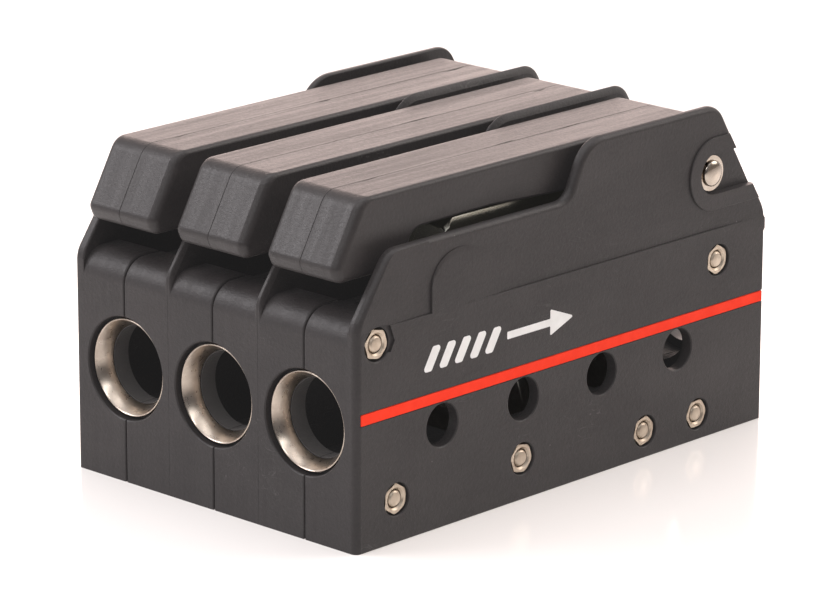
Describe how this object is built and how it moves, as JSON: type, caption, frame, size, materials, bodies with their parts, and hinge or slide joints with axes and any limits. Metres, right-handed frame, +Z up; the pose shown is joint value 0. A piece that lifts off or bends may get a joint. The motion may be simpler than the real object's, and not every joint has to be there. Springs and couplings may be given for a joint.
{
  "type": "rope clutch",
  "caption": "Deck-mounted rope clutch bank with side-by-side lever handles, flared rope bushings and tilting grip rings in a bolted moulded casing.",
  "frame": {"origin": "centre of the bounding box at the base, with the handles closed", "axes": "+Z up, Y along the rope with the rope entry and the handles' noses at -Y, X across the clutches"},
  "size_m": [0.1128, 0.1744, 0.1003],
  "materials": {
    "casing_nylon": "matte black glass-filled nylon, fine moulded grain",
    "handle_nylon": "satin black moulded nylon with a parting line",
    "carriage_nylon": "plain black moulded nylon",
    "polished_stainless": "polished stainless steel",
    "ring_steel": "tumbled stainless steel",
    "spring_steel": "drawn stainless wire",
    "fastener_steel": "plain stainless fasteners, slightly warm tint",
    "stripe_red": "orange-red satin inlay"
  },
  "bodies": {
    "casing": {"left_end_casing": "casing_nylon", "left_middle_casing": "casing_nylon", "right_middle_casing": "casing_nylon", "right_end_casing": "casing_nylon", "front_bushing_1": "polished_stainless", "front_bushing_2": "polished_stainless", "front_bushing_3": "polished_stainless", "rear_bushing_1": "polished_stainless", "rear_bushing_2": "polished_stainless", "rear_bushing_3": "polished_stainless", "cross_bolt_1": "fastener_steel", "cross_bolt_nut_1": "fastener_steel", "cross_bolt_2": "fastener_steel", "cross_bolt_nut_2": "fastener_steel", "cross_bolt_3": "fastener_steel", "cross_bolt_nut_3": "fastener_steel", "cross_bolt_4": "fastener_steel", "cross_bolt_nut_4": "fastener_steel", "cross_bolt_5": "fastener_steel", "cross_bolt_nut_5": "fastener_steel", "cross_bolt_6": "fastener_steel", "cross_bolt_nut_6": "fastener_steel", "handle_pivot_pin": "polished_stainless", "pivot_clip_left": "polished_stainless", "side_stripe_left": "stripe_red", "pivot_clip_right": "polished_stainless", "side_stripe_right": "stripe_red", "return_spring_1": "spring_steel", "return_spring_2": "spring_steel", "return_spring_3": "spring_steel"},
    "handle_1": {"handle_1": "handle_nylon"},
    "carriage_1": {"carriage_1": "carriage_nylon", "push_channel_1": "polished_stainless", "cam_roller_1": "polished_stainless"},
    "grip_ring_1_1": {"grip_ring_1_1": "ring_steel"},
    "grip_ring_1_2": {"grip_ring_1_2": "ring_steel"},
    "grip_ring_1_3": {"grip_ring_1_3": "ring_steel"},
    "grip_ring_1_4": {"grip_ring_1_4": "ring_steel"},
    "handle_2": {"handle_2": "handle_nylon"},
    "carriage_2": {"carriage_2": "carriage_nylon", "push_channel_2": "polished_stainless", "cam_roller_2": "polished_stainless"},
    "grip_ring_2_1": {"grip_ring_2_1": "ring_steel"},
    "grip_ring_2_2": {"grip_ring_2_2": "ring_steel"},
    "grip_ring_2_3": {"grip_ring_2_3": "ring_steel"},
    "grip_ring_2_4": {"grip_ring_2_4": "ring_steel"},
    "handle_3": {"handle_3": "handle_nylon"},
    "carriage_3": {"carriage_3": "carriage_nylon", "push_channel_3": "polished_stainless", "cam_roller_3": "polished_stainless"},
    "grip_ring_3_1": {"grip_ring_3_1": "ring_steel"},
    "grip_ring_3_2": {"grip_ring_3_2": "ring_steel"},
    "grip_ring_3_3": {"grip_ring_3_3": "ring_steel"},
    "grip_ring_3_4": {"grip_ring_3_4": "ring_steel"}
  },
  "joints": [
    {"name": "handle_1_hinge", "type": "hinge", "parent": "casing", "child": "handle_1", "pos_m": [-0.036, 0.06419, 0.08], "axis": [-1, 0, 0], "range_deg": [0, 105]},
    {"name": "carriage_1_slide", "type": "slide", "parent": "casing", "child": "carriage_1", "axis": [0, 1, 0], "range_m": [0, 0.01367]},
    {"name": "grip_ring_1_1_tilt", "type": "hinge", "parent": "casing", "child": "grip_ring_1_1", "pos_m": [-0.036, -0.02582, 0.019], "axis": [-1, 0, 0], "range_deg": [0, 18.01]},
    {"name": "grip_ring_1_2_tilt", "type": "hinge", "parent": "casing", "child": "grip_ring_1_2", "pos_m": [-0.036, -0.00581, 0.019], "axis": [-1, 0, 0], "range_deg": [0, 18.01]},
    {"name": "grip_ring_1_3_tilt", "type": "hinge", "parent": "casing", "child": "grip_ring_1_3", "pos_m": [-0.036, 0.01418, 0.019], "axis": [-1, 0, 0], "range_deg": [0, 18.01]},
    {"name": "grip_ring_1_4_tilt", "type": "hinge", "parent": "casing", "child": "grip_ring_1_4", "pos_m": [-0.036, 0.03419, 0.019], "axis": [-1, 0, 0], "range_deg": [0, 18.01]},
    {"name": "handle_2_hinge", "type": "hinge", "parent": "casing", "child": "handle_2", "pos_m": [0, 0.06419, 0.08], "axis": [-1, 0, 0], "range_deg": [0, 105]},
    {"name": "carriage_2_slide", "type": "slide", "parent": "casing", "child": "carriage_2", "axis": [0, 1, 0], "range_m": [0, 0.01367]},
    {"name": "grip_ring_2_1_tilt", "type": "hinge", "parent": "casing", "child": "grip_ring_2_1", "pos_m": [0, -0.02582, 0.019], "axis": [-1, 0, 0], "range_deg": [0, 18.01]},
    {"name": "grip_ring_2_2_tilt", "type": "hinge", "parent": "casing", "child": "grip_ring_2_2", "pos_m": [0, -0.00581, 0.019], "axis": [-1, 0, 0], "range_deg": [0, 18.01]},
    {"name": "grip_ring_2_3_tilt", "type": "hinge", "parent": "casing", "child": "grip_ring_2_3", "pos_m": [0, 0.01418, 0.019], "axis": [-1, 0, 0], "range_deg": [0, 18.01]},
    {"name": "grip_ring_2_4_tilt", "type": "hinge", "parent": "casing", "child": "grip_ring_2_4", "pos_m": [0, 0.03419, 0.019], "axis": [-1, 0, 0], "range_deg": [0, 18.01]},
    {"name": "handle_3_hinge", "type": "hinge", "parent": "casing", "child": "handle_3", "pos_m": [0.036, 0.06419, 0.08], "axis": [-1, 0, 0], "range_deg": [0, 105]},
    {"name": "carriage_3_slide", "type": "slide", "parent": "casing", "child": "carriage_3", "axis": [0, 1, 0], "range_m": [0, 0.01367]},
    {"name": "grip_ring_3_1_tilt", "type": "hinge", "parent": "casing", "child": "grip_ring_3_1", "pos_m": [0.036, -0.02582, 0.019], "axis": [-1, 0, 0], "range_deg": [0, 18.01]},
    {"name": "grip_ring_3_2_tilt", "type": "hinge", "parent": "casing", "child": "grip_ring_3_2", "pos_m": [0.036, -0.00581, 0.019], "axis": [-1, 0, 0], "range_deg": [0, 18.01]},
    {"name": "grip_ring_3_3_tilt", "type": "hinge", "parent": "casing", "child": "grip_ring_3_3", "pos_m": [0.036, 0.01418, 0.019], "axis": [-1, 0, 0], "range_deg": [0, 18.01]},
    {"name": "grip_ring_3_4_tilt", "type": "hinge", "parent": "casing", "child": "grip_ring_3_4", "pos_m": [0.036, 0.03419, 0.019], "axis": [-1, 0, 0], "range_deg": [0, 18.01]}
  ],
  "couplings": [
    {"joint": "carriage_1_slide", "follows": "handle_1_hinge", "m_per_rad": 0.0074466},
    {"joint": "grip_ring_1_1_tilt", "follows": "handle_1_hinge", "ratio": 0.17143},
    {"joint": "grip_ring_1_2_tilt", "follows": "handle_1_hinge", "ratio": 0.17143},
    {"joint": "grip_ring_1_3_tilt", "follows": "handle_1_hinge", "ratio": 0.17143},
    {"joint": "grip_ring_1_4_tilt", "follows": "handle_1_hinge", "ratio": 0.17143},
    {"joint": "carriage_2_slide", "follows": "handle_2_hinge", "m_per_rad": 0.0074466},
    {"joint": "grip_ring_2_1_tilt", "follows": "handle_2_hinge", "ratio": 0.17143},
    {"joint": "grip_ring_2_2_tilt", "follows": "handle_2_hinge", "ratio": 0.17143},
    {"joint": "grip_ring_2_3_tilt", "follows": "handle_2_hinge", "ratio": 0.17143},
    {"joint": "grip_ring_2_4_tilt", "follows": "handle_2_hinge", "ratio": 0.17143},
    {"joint": "carriage_3_slide", "follows": "handle_3_hinge", "m_per_rad": 0.0074466},
    {"joint": "grip_ring_3_1_tilt", "follows": "handle_3_hinge", "ratio": 0.17143},
    {"joint": "grip_ring_3_2_tilt", "follows": "handle_3_hinge", "ratio": 0.17143},
    {"joint": "grip_ring_3_3_tilt", "follows": "handle_3_hinge", "ratio": 0.17143},
    {"joint": "grip_ring_3_4_tilt", "follows": "handle_3_hinge", "ratio": 0.17143}
  ]
}
